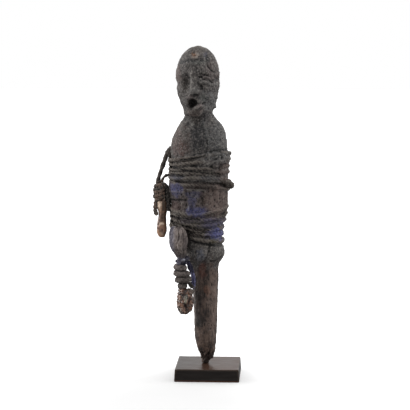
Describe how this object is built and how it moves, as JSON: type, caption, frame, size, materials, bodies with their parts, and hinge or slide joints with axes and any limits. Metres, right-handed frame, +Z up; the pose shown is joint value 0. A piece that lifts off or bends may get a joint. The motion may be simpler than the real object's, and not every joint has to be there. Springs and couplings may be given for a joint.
{
  "type": "carved wooden bocio figure on a plinth",
  "caption": "Carved wooden figure with an egg-shaped head and a legless body running down into a stake, bound with cord, hung with bundles and standing on a square plinth.",
  "frame": {"origin": "middle of the plinth's underside", "axes": "+Z up along the figure, -Y towards the face, +X to the right as seen from the front"},
  "size_m": [0.0829, 0.0614, 0.3136],
  "materials": {
    "crusted_wood": "matte, dark and crusted",
    "black_plinth": "black stained, satin",
    "crusted_cord": "twisted fibre, matte and crusted",
    "stained_cloth": "woven, matte, stained blue in patches",
    "pouch_cloth": "gathered, matte",
    "blue_cloth": "woven, dark blue, matte",
    "brown_rod": "polished by handling, glossy",
    "pod_shell": "seed shell, glossy"
  },
  "bodies": {
    "root": {"plinth": "black_plinth", "figure": "crusted_wood", "upper_lashing": "crusted_cord", "waist_cord": "crusted_cord", "lower_lashing": "crusted_cord", "waist_cloth": "stained_cloth", "hip_pouch": "pouch_cloth", "pouch_tie": "crusted_cord", "lower_binding": "crusted_cord", "seed_pod": "pod_shell", "blue_strip": "blue_cloth", "shoulder_knot": "crusted_cord", "hanging_cord": "crusted_cord", "upper_binding": "crusted_cord", "upper_rod": "brown_rod"}
  },
  "joints": []
}
